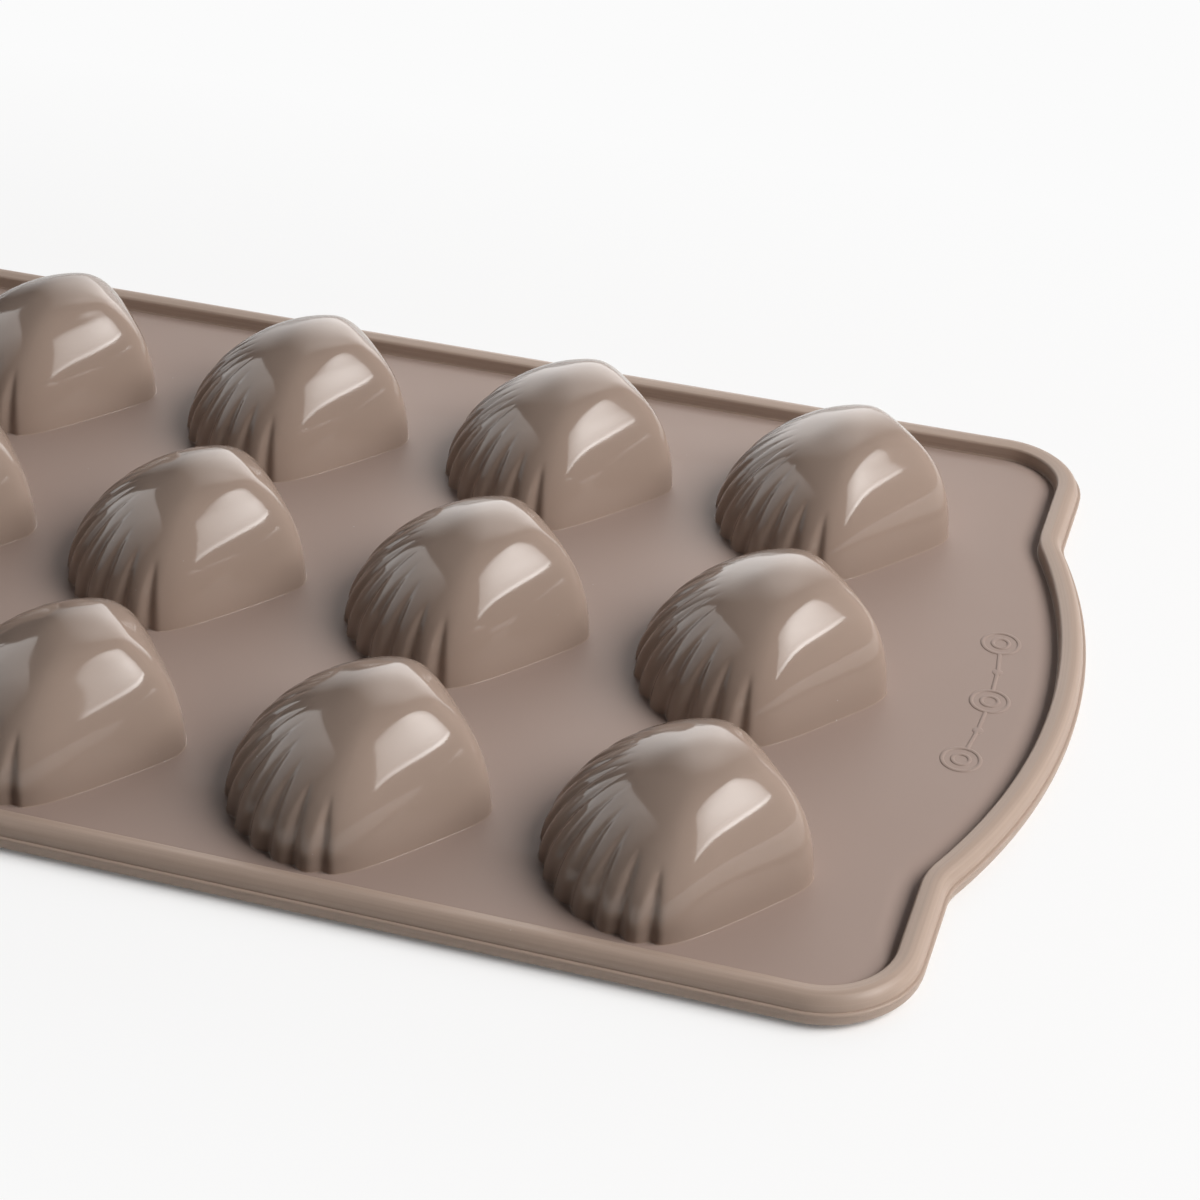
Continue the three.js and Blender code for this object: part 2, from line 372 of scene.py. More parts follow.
# %% [markdown]
# ## The form of one shell
#
# Seen from above, a cup is a round fan with two straight sides that meet at the hinge. Blending the
# three edges with a power gives one smooth outline. From the side it is a dome that climbs from its
# foot to a crest near the hinge. The outline has the sizes of the construction model, and the height
# and the place of each cup are read from its node. The depth and the softness of the grooves were
# tuned against the photograph.

# %% Sizes of a shell
deck_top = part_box("deck")[1].z
deck_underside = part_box("deck")[0].z
first_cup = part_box("cup_front_1")
shell_sizes = {
    "Fan Radius": 22.4 * MM,
    "Side Distance": 16.3 * MM,
    "Side Angle": math.radians(37.5),
    "Corner Sharpness": 9.0,
    "Crest Shift": 2.3 * MM,
    "Deck Top": deck_top,
    "Dome Height": first_cup[1].z - deck_top,
    "Hinge Fullness": 2.25,
    "Fan Fullness": 1.7,
    "Wall": 1.6 * MM,
    "Groove Spacing": math.radians(12.0),
    "Groove Depth": 1.65 * MM,
    "Groove Softness": 0.2,
    "Fade Start": 0.44,
    "Fade End": 0.8,
    "Valley Softness": 0.13,
    "Crest Roundness": 0.45,
    "Crest Reach": 0.6,
    "Foot Bead": 0.11 * MM,
    "Unevenness": 0.12 * MM,
    "Uneven Patch": 22 * MM,
}
grooves_per_side = 7


def outline_radius(angle, inset):
    """Distance from the crest's foot to the shell's outline. The hinge is at angle 0."""
    shift = shell_sizes["Crest Shift"]
    across = shift * math.cos(angle)
    fan = math.sqrt(across ** 2 - shift ** 2 + (shell_sizes["Fan Radius"] - inset) ** 2) - across
    total = 1.0
    for side in (-shell_sizes["Side Angle"], shell_sizes["Side Angle"]):
        distance = shell_sizes["Side Distance"] - inset - shift * math.cos(side)
        total += max(math.cos(angle - side) * fan / distance, 0) ** shell_sizes["Corner Sharpness"]
    return fan * total ** (-1 / shell_sizes["Corner Sharpness"])


shell_sizes["Crest Length"] = (outline_radius(0, 0) + outline_radius(math.pi, 0)) / 2
shell_sizes["Crest Width"] = outline_radius(math.pi / 2, 0)


def cup_place(node):
    """Centre of a cup's fan, seen from above."""
    low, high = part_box(node)
    return high.x - shell_sizes["Crest Shift"] - outline_radius(0, 0), (low.y + high.y) / 2


cup_nodes = sorted(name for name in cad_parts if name.startswith("cup_"))
print(len(cup_nodes), "cups, the first at", [round(x / MM, 2) for x in cup_place(cup_nodes[0])], "mm")

# %% [markdown]
# ## The recipe for a shell
#
# The tree starts from a flat grid. One way of the grid goes round the cup, and the other goes from
# the inner crest down to the foot, across the wall and up again to the outer crest, so inside and
# outside are one closed skin. Each grid point is then moved to the place that the formulas give.
# The ribs are the strips between sharp grooves. A groove is a row of round lobes pressed into the
# dome: high on the dome only the narrow gap between two lobes cuts in, and towards the foot the
# lobes show whole. A thin half-round bead at the foot is where the mould's two halves met.

# %% Where each point of a shell goes
steps_per_rib = 16
smooth_steps = 72
inside_steps = 16
bead_steps = 4
outside_steps = 52
ribbed_steps = (2 * grooves_per_side + 1) * steps_per_rib
round_steps = ribbed_steps + smooth_steps
climb_steps = inside_steps + 1 + bead_steps + outside_steps
groove_deepening = 0.55
groove_start_steepness = 7
bead_flatness = 0.8


def eased(value):
    """Rises smoothly from 0 to 1 while the value goes from 0 to 1."""
    value = value.clamped()
    return value * value * (3 - 2 * value)


def shell_skin_point(tree, sizes):
    """The place of each grid point, worked out from its column and row."""
    x_y = tree.add("ShaderNodeSeparateXYZ", {}, {"Vector": tree.add("GeometryNodeInputPosition")["Position"]})
    column = x_y["X"] + round_steps / 2
    row = x_y["Y"] + climb_steps / 2
    spacing = sizes["Groove Spacing"]
    reach = spacing * (grooves_per_side + 0.5)
    angle = (
        math.pi - reach
        + column.least(ribbed_steps) * spacing / steps_per_rib
        + (column - ribbed_steps).most(0) * (2 * math.pi - 2 * reach) / smooth_steps
    )

    outside = row.above(inside_steps + 0.5)
    step = row - (inside_steps + 1)
    climb = (
        outside * (step - bead_steps).most(0) / outside_steps
        + (1 - outside) * (1 - row / inside_steps).most(0)
    )
    on_bead = outside * (1 - step.above(bead_steps + 0.5)) * sizes["Foot Bead"]
    bead_turn = step.most(0).least(bead_steps) * (math.pi / 2 / bead_steps)
    inset = sizes["Wall"] * (1 - outside)

    shift = sizes["Crest Shift"]
    across = shift * angle.cos()
    fan_radius = sizes["Fan Radius"] - inset
    fan = (across * across - shift * shift + fan_radius * fan_radius).root() - across
    total = 1
    for side in (0 - sizes["Side Angle"], sizes["Side Angle"]):
        distance = sizes["Side Distance"] - inset - shift * side.cos()
        total = total + ((angle - side).cos() * fan / distance).most(0) ** sizes["Corner Sharpness"]
    outline = fan * total ** (-1 / sizes["Corner Sharpness"])

    # An ellipse at the crest, so that it is evenly round, and the fuller or leaner form further down.
    more_at_hinge = sizes["Hinge Fullness"] - sizes["Fan Fullness"]
    fullness = sizes["Fan Fullness"] + more_at_hinge * (1 + angle.cos()) / 2
    turn = climb * math.pi / 2
    power = 2 / (2 + (fullness - 2) * eased(turn.cos() / sizes["Crest Roundness"]))
    share = turn.cos().most(0) ** power
    height = (sizes["Dome Height"] - inset) * turn.sin() ** power

    # The skin is pressed in wherever the lobe is lower than the share of the depth reached so far. The
    # grooves start nearer the crest at the front than at the sides.
    phase = (angle - math.pi) / spacing
    beside_groove = phase - phase.maths("ROUND", phase)
    softness = sizes["Valley Softness"]
    from_valley = (beside_groove * beside_groove + softness * softness).root()
    lobe = (from_valley * math.pi).sin()
    ribbed = 1 - phase.maths("ABSOLUTE", phase).above(grooves_per_side + 0.5)
    start = sizes["Fade Start"] + (sizes["Fade End"] - sizes["Fade Start"]) * angle.sin() ** 4
    faded = ((share - start) / (1 - start)).clamped()
    depth_share = faded ** groove_deepening
    soft = sizes["Groove Softness"]

    def pressed(past):
        return ((past * past + soft * soft).root() + past) / 2

    begun = eased(faded * groove_start_steepness)
    cut = ribbed * begun * sizes["Groove Depth"] * (pressed(depth_share - lobe) - pressed(depth_share - 1))

    # Level cuts through the cup are ellipses near the crest and take the outline's form further down.
    along = angle.cos() / (sizes["Crest Length"] - inset)
    sideways = angle.sin() / (sizes["Crest Width"] - inset)
    round_top = 1 / (along * along + sideways * sideways).root()
    reached = eased(share / sizes["Crest Reach"])
    radius = share * (round_top + (outline - round_top) * reached) - cut + on_bead * bead_turn.cos()
    rise = height + on_bead * bead_turn.sin() * bead_flatness
    return tree.add("ShaderNodeCombineXYZ", {}, {
        "X": sizes["Fan X"] + shift + radius * angle.cos(),
        "Y": sizes["Fan Y"] + radius * angle.sin(),
        "Z": sizes["Deck Top"] + rise,
    })["Vector"]


print("grid of a shell:", round_steps, "steps round,", climb_steps, "steps up")

# %% [markdown]
# ## From the grid to a cup
#
# The tree itself is short: a grid, its points moved, and the points merged where the skin closes, at
# the seam beside the last rib and at the two crests. No casting is quite even, so a slow noise then draws
# the skin in by up to a tenth of a millimetre, and the reflections bend as on the real cups.

# %% Shell recipe
seam_tolerance = 0.002 * MM


def shell_recipe():
    """The whole tree: a grid, its points moved into a shell, and a slight unevenness of the casting."""
    inputs = {label: ("NodeSocketFloat", value) for label, value in shell_sizes.items()}
    inputs["Fan X"] = ("NodeSocketFloat", 0.0)
    inputs["Fan Y"] = ("NodeSocketFloat", 0.0)
    inputs["Seed"] = ("NodeSocketFloat", 0.0)
    inputs["Silicone"] = ("NodeSocketMaterial", None)
    tree, sizes = geometry_tree("shell_cup", inputs)
    grid = tree.add("GeometryNodeMeshGrid", {}, {
        "Size X": float(round_steps), "Size Y": float(climb_steps),
        "Vertices X": round_steps + 1, "Vertices Y": climb_steps + 1})["Mesh"]
    point = shell_skin_point(tree, sizes)
    skin = tree.add("GeometryNodeSetPosition", {}, {"Geometry": grid, "Position": point})["Geometry"]
    joined = tree.add("GeometryNodeMergeByDistance", {}, {
        "Geometry": skin, "Distance": seam_tolerance})["Geometry"]
    where = tree.add("GeometryNodeInputPosition")["Position"]
    unevenness = tree.add("ShaderNodeTexNoise", {"noise_dimensions": "4D"}, {
        "Vector": where, "W": sizes["Seed"], "Scale": 1 / sizes["Uneven Patch"], "Detail": 0.0})["Fac"]
    centre = tree.add("ShaderNodeCombineXYZ", {}, {
        "X": sizes["Fan X"] + sizes["Crest Shift"], "Y": sizes["Fan Y"], "Z": sizes["Deck Top"]})["Vector"]
    outwards = tree.add("ShaderNodeVectorMath", {"operation": "SUBTRACT"}, {0: where, 1: centre})["Vector"]
    rise = tree.add("ShaderNodeSeparateXYZ", {}, {"Vector": outwards})["Z"] / sizes["Dome Height"]
    # The foot keeps its place. Taking off more than the noise's middle keeps the cup in its box.
    free_of_foot = (rise * 4).least(1)
    swell = free_of_foot * (unevenness - 0.8) * sizes["Unevenness"] / sizes["Fan Radius"]
    offset = tree.add("ShaderNodeVectorMath", {"operation": "SCALE"}, {0: outwards, "Scale": swell})["Vector"]
    uneven = tree.add("GeometryNodeSetPosition", {}, {"Geometry": joined, "Offset": offset})["Geometry"]
    smooth = tree.add("GeometryNodeSetShadeSmooth", {}, {"Geometry": uneven})["Geometry"]
    return finish_tree(tree, smooth, sizes["Silicone"])


shell_group = shell_recipe()
print("shell recipe:", len(shell_group.nodes), "nodes")

# %% [markdown]
# ## Fifteen cups
#
# The same recipe runs once for each cup, with that cup's place and a seed of its own, because no two
# cups of a cast tray bend the reflections in quite the same way.

# %% Cups
first_seed = 3.0
for number, node in enumerate(cup_nodes):
    fan_x, fan_y = cup_place(node)
    cup = bake(f"shell_{node}", shell_group, {
        "Fan X": fan_x, "Fan Y": fan_y, "Seed": first_seed + number, "Silicone": polished_silicone})
    finish_piece(cup, "silicone_cup", node)

# %% [markdown]
# ## The outline of the tray
#
# The rim, its wire and the deck's edge all follow one outline: straight long sides, round corners,
# short straight ends, and a handle at each end that swings out in an arc and meets the straight end
# in a hollow fillet. The left half is the right half turned by half a circle. The outline is a list
# of points, each with the way out of the tray, because everything inside it lies square to that way.

# %% Tray outline
bulge_half_width = 49 * MM
corner_radius = 15.5 * MM
bulge_fillet = 10 * MM
end_bulge = 10.4 * MM
lip_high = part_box("rim_lip")[1]
half_width = lip_high.y
half_ear = lip_high.x - end_bulge
bulge_radius = (bulge_half_width ** 2 + end_bulge ** 2) / (2 * end_bulge)
bulge_centre = half_ear + end_bulge - bulge_radius
outline_step = 1.5 * MM


def arc_points(x, y, radius, start, end, hollow=1):
    """Points on an arc, each as x, y and the way out of the tray."""
    steps = max(6, math.ceil(abs(end - start) * radius / outline_step))
    points = []
    for i in range(steps + 1):
        angle = start + (end - start) * i / steps
        out = (math.cos(angle), math.sin(angle))
        points.append((x + radius * out[0], y + radius * out[1], out[0] * hollow, out[1] * hollow))
    return points


def tray_outline():
    """The tray's outermost edge, counterclockwise seen from above."""
    fillet_x = half_ear + bulge_fillet
    fillet_y = math.sqrt((bulge_radius + bulge_fillet) ** 2 - (fillet_x - bulge_centre) ** 2)
    turn = math.atan2(fillet_y, fillet_x - bulge_centre)
    corner_x = half_ear - corner_radius
    corner_y = half_width - corner_radius
    right = [
        *arc_points(corner_x, -corner_y, corner_radius, -math.pi / 2, 0),
        *arc_points(fillet_x, -fillet_y, bulge_fillet, math.pi, math.pi - turn, -1),
        *arc_points(bulge_centre, 0, bulge_radius, -turn, turn)[1:-1],
        *arc_points(fillet_x, fillet_y, bulge_fillet, turn - math.pi, -math.pi, -1),
        *arc_points(corner_x, corner_y, corner_radius, 0, math.pi / 2),
    ]
    whole = right + [(-x, -y, -out_x, -out_y) for x, y, out_x, out_y in right]
    points = []
    for i, (x, y, out_x, out_y) in enumerate(whole):
        next_x, next_y = whole[(i + 1) % len(whole)][:2]
        pieces = max(1, round(math.dist((x, y), (next_x, next_y)) / (2 * outline_step)))
        for k in range(pieces):
            points.append((x + (next_x - x) * k / pieces, y + (next_y - y) * k / pieces, out_x, out_y))
    return points


outline_points = tray_outline()
print("outline:", len(outline_points), "points")

# %% [markdown]
# ## The recipe for a hoop
#
# The bead, the lip and the wire are all hoops: one section swept round the outline. Curve to Mesh
# does exactly that. The path is the line through the middle of the section, and the section is a
# small closed curve of its own, drawn as how far a point lies inside the tray's edge and how high it
# is above the table. Before the sweep, each point of the section notes how far round it lies, which
# the rim's finish uses for its lengthwise lines.


# %% Hoop recipe
def closed_curve(name, points):
    """A closed curve through flat points, whose sections stand upright all along it."""
    curve = bpy.data.curves.new(name, "CURVE")
    curve.dimensions = "3D"
    curve.twist_mode = "Z_UP"
    spline = curve.splines.new("POLY")
    spline.points.add(len(points) - 1)
    for point, (x, y) in zip(spline.points, points):
        point.co = (x, y, 0, 1)
    spline.use_cyclic_u = True
    return curve


def hoop_recipe():
    """A tree that sweeps the section held by another object along the curve that it runs on."""
    tree, inputs = geometry_tree("rim_hoop", {
        "Geometry": ("NodeSocketGeometry", None),
        "Section": ("NodeSocketObject", None),
        "Finish": ("NodeSocketMaterial", None),
    })
    section = tree.add("GeometryNodeObjectInfo", {}, {"Object": inputs["Section"]})["Geometry"]
    share = tree.add("GeometryNodeSplineParameter")["Factor"]
    marked = tree.add("GeometryNodeStoreNamedAttribute", {"data_type": "FLOAT", "domain": "POINT"}, {
        "Geometry": section, "Name": "section_share", "Value": share})["Geometry"]
    swept = tree.add("GeometryNodeCurveToMesh", {}, {
        "Curve": inputs["Geometry"], "Profile Curve": marked})["Mesh"]
    smooth = tree.add("GeometryNodeSetShadeSmooth", {}, {"Geometry": swept})["Geometry"]
    return finish_tree(tree, smooth, inputs["Finish"])


hoop_group = hoop_recipe()


def hoop(name, section, path_inset, material):
    """A hoop from a section of points (inward from the tray's edge, height above the table)."""
    path = closed_curve(name + "_path", [
        (x - out_x * path_inset, y - out_y * path_inset) for x, y, out_x, out_y in outline_points])
    # The sweep turns the section by half a circle about the path.
    section_curve = closed_curve(name + "_section", [
        (path_inset - inward, -height) for inward, height in section])
    holder = in_scene(name + "_section", section_curve)
    piece = bake(name, hoop_group, {"Section": holder, "Finish": material}, path)
    bpy.data.objects.remove(holder)
    return piece


def arc_section(centre, radius, start, end, steps):
    """Points of a section on an arc, its angles in degrees."""
    angles = [math.radians(start + (end - start) * i / steps) for i in range(steps + 1)]
    return [(centre[0] + radius * math.cos(a), centre[1] + radius * math.sin(a)) for a in angles]


print("hoop recipe:", len(hoop_group.nodes), "nodes")

# %% [markdown]
# ## The rim
#
# The rim is a thick bead over a thinner lip that stands on the table. The bead is round outside and
# upright inside, with a crisp inner edge where the mould's halves met. The lip stands out a little
# below it, and this fine ledge catches the light all round. A steel wire lies in a round groove
# between the two, and keeps the limp tray level when it is lifted. The bead's section is worked out
# from a few arcs and a full rounded outside, and the lip's is a short list of measured points.

# %% Sections of the bead and the lip
lip_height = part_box("rim_bead")[0].z
bead_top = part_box("rim_bead")[1].z
notch = 1.0 * MM
lip_ledge = 0.48 * MM
bead_wall = 4.4 * MM
bead_edge = 0.55 * MM
bead_crown = 0.3 * MM
bead_fillet = 0.18 * MM
bead_inside = 4.6 * MM
ledge_height = 3.3 * MM
hollow_depth = 0.95 * MM
hollow_floor = deck_top - hollow_depth
wire_radius = 1.25 * MM
wire_bore = wire_radius + 0.02 * MM
wire_sides = 24
wire_centre = (3.3 * MM, lip_height)
seat_end = 8 * MM


def bead_section():
    """The bead: the wire's groove below, an upright inner wall, a crisp edge and a round outside."""
    top_inset = 2.75 * MM
    widest_height = 2.9 * MM
    outer_width = top_inset - lip_ledge
    outer_drop = bead_top - widest_height
    outer_fullness = 2.2

    def outer_point(angle):
        share = math.cos(angle) ** (2 / outer_fullness)
        rise = math.sin(angle) ** (2 / outer_fullness)
        return top_inset - outer_width * share, bead_top - outer_drop * (1 - rise)

    ledge_rise = (ledge_height - bead_top + outer_drop) / outer_drop
    ledge_angle = math.asin(ledge_rise ** (outer_fullness / 2))
    outer_steps = 24
    outside = [
        outer_point(math.pi / 2 + (ledge_angle - math.pi / 2) * i / outer_steps)
        for i in range(outer_steps + 1)]
    edge_middle = (bead_wall - bead_edge, bead_top - bead_crown - bead_edge)
    fillet_middle = (bead_wall + bead_fillet, hollow_floor + bead_fillet)
    return [
        (notch, ledge_height),
        (notch, lip_height),
        *arc_section(wire_centre, wire_bore, 180, 0, wire_sides // 2),
        (bead_inside, lip_height),
        (bead_inside, hollow_floor),
        *arc_section(fillet_middle, bead_fillet, 270, 180, 8),
        *arc_section(edge_middle, bead_edge, 0, 84, 8),
        *outside,
    ]


def lip_section():
    """The lip: a foot on the table, the deck's seat, the wire's groove and the ledge."""
    foot_round = 0.45 * MM
    edge_round = 0.3 * MM
    return [
        # Outside, the lip leans back towards its foot, so that it stands in its own shadow.
        (0.04 * MM, 2.5 * MM),
        (0.1 * MM, 2.0 * MM),
        (0.17 * MM, 1.65 * MM),
        (0.28 * MM, 1.3 * MM),
        (0.55 * MM, 1.05 * MM),
        (2.45 * MM, 0.1 * MM),
        (2.75 * MM, 0),
        (seat_end - foot_round, 0),
        *arc_section((seat_end - foot_round, foot_round), foot_round, 270, 360, 5)[1:],
        (seat_end, deck_underside),
        (bead_inside, deck_underside),
        (bead_inside, lip_height),
        *arc_section(wire_centre, wire_bore, 0, -180, wire_sides // 2),
        (notch, lip_height),
        (notch, ledge_height),
        *arc_section((edge_round, ledge_height - edge_round), edge_round, 90, 180, 6),
    ]


print("points of the bead's section:", len(bead_section()), "and of the lip's:", len(lip_section()))

# %% Rim bead, rim lip and wire
bead = hoop("round_rim_bead", bead_section(), wire_centre[0], lit_rim_silicone)
finish_piece(bead, "silicone_rim", "rim_bead")
lip = hoop("rim_lip_and_ledge", lip_section(), wire_centre[0], lit_rim_silicone)
finish_piece(lip, "silicone_rim", "rim_lip")
wire_round = arc_section(wire_centre, wire_radius, 0, 360 - 360 / wire_sides, wire_sides - 1)
wire = hoop("rim_stiffening_wire", wire_round, wire_centre[0], wire_steel)
finish_piece(wire, "steel_wire", "rim_wire")

# %% [markdown]
# ## The deck
#
# The deck is a thin plate with a shell-shaped mouth under each cup, where the mixture goes in. It is
# flat but for a soft hollow along the bead, which gives the broad shade there. It is built from
# loops: a few round the tray that lie in the hollow, one on top of each mouth, where the cup stands,
# and more that round the mouth's lower edge. Blender fills the flat faces between the loops. The
# front cups stand close to the rim, so the hollow is narrow at the front.


# %% Mouths and hollow
def groove_cut(angle):
    """How deep the outline is cut by a groove at the foot of the shell."""
    phase = (angle - math.pi) / shell_sizes["Groove Spacing"]
    if abs(phase) > grooves_per_side + 0.5:
        return 0.0
    soft = shell_sizes["Groove Softness"]
    beside = math.hypot(phase - round(phase), shell_sizes["Valley Softness"])
    past = 1 - math.sin(beside * math.pi)
    return shell_sizes["Groove Depth"] * (math.hypot(past, soft) + past - soft) / 2


def mouth_points(place, widening):
    """The mouth of a cup, seen from above: the shell's inner outline, widened by a little."""
    reach = shell_sizes["Groove Spacing"] * (grooves_per_side + 0.5)
    angles = [math.pi - reach + 2 * reach * i / (ribbed_steps // 2) for i in range(ribbed_steps // 2)]
    rest = 2 * math.pi - 2 * reach
    angles += [math.pi + reach + rest * i / smooth_steps for i in range(smooth_steps)]
    points = []
    for angle in angles:
        radius = outline_radius(angle, shell_sizes["Wall"]) - groove_cut(angle) + widening
        points.append((
            place[0] + shell_sizes["Crest Shift"] + radius * math.cos(angle),
            place[1] + radius * math.sin(angle)))
    return points


hollow_steps = 10
hollow_front_width = 1.5 * MM
hollow_widening = 3.6 * MM
widening_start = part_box("cup_front_1")[0].y + 4 * MM
widening_length = 14 * MM


def hollow_line(share):
    """A line round the deck, at this share of the way up from the bead to the flat top."""
    points = []
    for x, y, out_x, out_y in outline_points:
        back = min(max((y - widening_start) / widening_length, 0), 1)
        width = hollow_front_width + hollow_widening * back * back * (3 - 2 * back)
        inset = bead_inside + width * share
        points.append((x - out_x * inset, y - out_y * inset))
    return points


print("points round a mouth:", len(mouth_points(cup_place(cup_nodes[0]), 0)))


# %% Deck
def deck_mesh():
    """The plate with its mouths, as one closed mesh."""
    deck_crease_angle = math.radians(30)
    mouth_round = 0.5 * MM
    round_steps_below = 4
    mesh = bmesh.new()

    def loop(points, height):
        corners = [mesh.verts.new((x, y, height)) for x, y in points]
        edges = [mesh.edges.new((a, b)) for a, b in zip(corners, corners[1:] + corners[:1])]
        return corners, edges

    def wall(lower, upper):
        for a, b, c, d in zip(lower, lower[1:] + lower[:1], upper[1:] + upper[:1], upper):
            mesh.faces.new((a, b, c, d))

    low_edge, low_lines = loop(hollow_line(0), deck_underside)
    lower = low_edge
    for i in range(hollow_steps + 1):
        share = i / hollow_steps
        rise = hollow_depth * (1 - (1 - share) ** 2)
        upper, top_lines = loop(hollow_line(share), hollow_floor + rise)
        wall(lower, upper)
        lower = upper
    for node in cup_nodes:
        place = cup_place(node)
        upper, lines = loop(mouth_points(place, 0), deck_top)
        top_lines += lines
        for i in range(round_steps_below + 1):
            angle = math.pi / 2 * i / round_steps_below
            widening = mouth_round * (1 - math.cos(angle))
            height = deck_underside + mouth_round * (1 - math.sin(angle))
            lower, lines = loop(mouth_points(place, widening), height)
            wall(upper, lower)
            upper = lower
        low_lines += lines
    for lines in (top_lines, low_lines):
        bmesh.ops.triangle_fill(mesh, edges=lines, use_beauty=True, use_dissolve=False)
    bmesh.ops.recalc_face_normals(mesh, faces=mesh.faces)
    for face in mesh.faces:
        face.smooth = True
    made = bpy.data.meshes.new("moulded_deck")
    mesh.to_mesh(made)
    mesh.free()
    made.set_sharp_from_angle(angle=deck_crease_angle)
    return made


deck = in_scene("moulded_deck", deck_mesh())
deck.data.materials.append(satin_silicone)
finish_piece(deck, "silicone_deck", "deck")

# %% [markdown]
# ## The raised ornament
#
# A line of low raised marks follows the curve of the right-hand handle. They are double rings and
# dots joined by bars, all of them half-round lines less than a fifth of a millimetre high, as a
# cutter leaves them in a mould. One tree makes the rings and the bars as swept lines and the dots as
# domes. Each point of its base mesh says what kind of mark it carries.

# %% Where the marks stand
mark_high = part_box("deck_marks")[1]
ring_radius = 3 * MM
mark_inset = 14 * MM
mark_spread = 8.5 * MM
mark_count = 5
# Lower than in the construction model, so that the marks hardly show.
mark_height = 0.42 * (mark_high.z - deck_top)


def mark_base():
    """Points along the handle's curve and an edge for each bar. Kinds: ring 0, dot 1, end of a bar 2."""
    row_radius = bulge_radius - mark_inset
    middle = (mark_count - 1) / 2
    angles = [(i - middle) * mark_spread / row_radius for i in range(mark_count)]
    points = [Vector((bulge_centre + row_radius * math.cos(a), row_radius * math.sin(a), 0)) for a in angles]
    kinds = [i % 2 for i in range(mark_count)]
    edges = []
    for dot in range(1, mark_count, 2):
        for ring in (dot - 1, dot + 1):
            edges.append((dot, len(points)))
            points.append(points[ring] + (points[dot] - points[ring]).normalized() * ring_radius)
            kinds.append(2)
    mesh = bpy.data.meshes.new("mark_places")
    mesh.from_pydata(points, edges, [])
    mesh.attributes.new("kind", "FLOAT", "POINT").data.foreach_set("value", [float(kind) for kind in kinds])
    return mesh


print(mark_count, "rings and dots,", round(mark_height / MM, 2), "mm high")


# %% Raised ornament
def mark_recipe():
    """Double rings on every second point and dots on the others, with a bar from each to the next."""
    tree, inputs = geometry_tree("raised_marks", {
        "Geometry": ("NodeSocketGeometry", None),
        "Ring Radius": ("NodeSocketFloat", ring_radius),
        "Inner Ring": ("NodeSocketFloat", 0.45 * ring_radius),
        "Line Width": ("NodeSocketFloat", 0.7 * MM),
        "Height": ("NodeSocketFloat", mark_height),
        "Dot Radius": ("NodeSocketFloat", 0.9 * MM),
        "Deck Top": ("NodeSocketFloat", deck_top),
        "Silicone": ("NodeSocketMaterial", None),
    })

    def circle(radius, steps):
        return tree.add("GeometryNodeCurvePrimitiveCircle", {}, {
            "Resolution": steps, "Radius": radius})["Curve"]

    def lowered(geometry, radius):
        """Presses a round form flat, so that it stands only Height above the deck."""
        scale = tree.add("ShaderNodeCombineXYZ", {}, {
            "X": 1.0, "Y": 1.0, "Z": inputs["Height"] / radius})["Vector"]
        return tree.add("GeometryNodeTransform", {}, {"Geometry": geometry, "Scale": scale})["Geometry"]

    def joined(*parts):
        both = tree.add("GeometryNodeJoinGeometry")["Geometry"]
        for part in parts:
            tree.nodes.links.new(part.socket, tree.nodes.nodes[-1].inputs["Geometry"])
        return both

    line = circle(inputs["Line Width"] / 2, steps=16)

    def swept(path, caps=False):
        return tree.add("GeometryNodeCurveToMesh", {}, {
            "Curve": path, "Profile Curve": line, "Fill Caps": caps})["Mesh"]

    rings = lowered(joined(
        swept(circle(inputs["Ring Radius"], steps=64)),
        swept(circle(inputs["Inner Ring"], steps=40))), inputs["Line Width"] / 2)
    dome = tree.add("GeometryNodeMeshUVSphere", {}, {
        "Segments": 32, "Rings": 16, "Radius": inputs["Dot Radius"]})["Mesh"]
    dot = lowered(dome, inputs["Dot Radius"])
    kind = tree.add("GeometryNodeInputNamedAttribute", {"data_type": "FLOAT"}, {"Name": "kind"})["Attribute"]
    rings = tree.add("GeometryNodeInstanceOnPoints", {}, {
        "Points": inputs["Geometry"], "Selection": (0.5 - kind).above(0), "Instance": rings})["Instances"]
    is_dot = kind.above(0.5) * (1.5 - kind).above(0)
    dots = tree.add("GeometryNodeInstanceOnPoints", {}, {
        "Points": inputs["Geometry"], "Selection": is_dot, "Instance": dot})["Instances"]
    path = tree.add("GeometryNodeMeshToCurve", {}, {"Mesh": inputs["Geometry"]})["Curve"]
    bars = lowered(swept(path, True), inputs["Line Width"] / 2)
    up = tree.add("ShaderNodeCombineXYZ", {}, {"X": 0.0, "Y": 0.0, "Z": inputs["Deck Top"]})["Vector"]
    real = tree.add("GeometryNodeRealizeInstances", {}, {"Geometry": joined(rings, dots, bars)})["Geometry"]
    marks = tree.add("GeometryNodeTransform", {}, {"Geometry": real, "Translation": up})["Geometry"]
    smooth = tree.add("GeometryNodeSetShadeSmooth", {}, {"Geometry": marks})["Geometry"]
    return finish_tree(tree, smooth, inputs["Silicone"])


marks = bake("raised_ornament", mark_recipe(), {"Silicone": satin_silicone}, mark_base())
finish_piece(marks, "silicone_deck", "deck_marks")

# %% [markdown]
# ## The table
#
# The tray lies on a white table that runs on without an edge. Close to the tray the table shows the shade it
# really gets together with a painted shade, because less plain white is mixed in there, and further off it
# turns to plain white. A Light Path node shows that white to the camera alone, so it adds no light to the
# tray.


# %% Table
def flat_stage(name, corners, material):
    """A flat four-cornered piece of the studio."""
    mesh = bpy.data.meshes.new(name)
    mesh.from_pydata(corners, [], [list(range(len(corners)))])
    mesh.materials.append(material)
    piece = in_scene(name, mesh)
    return piece


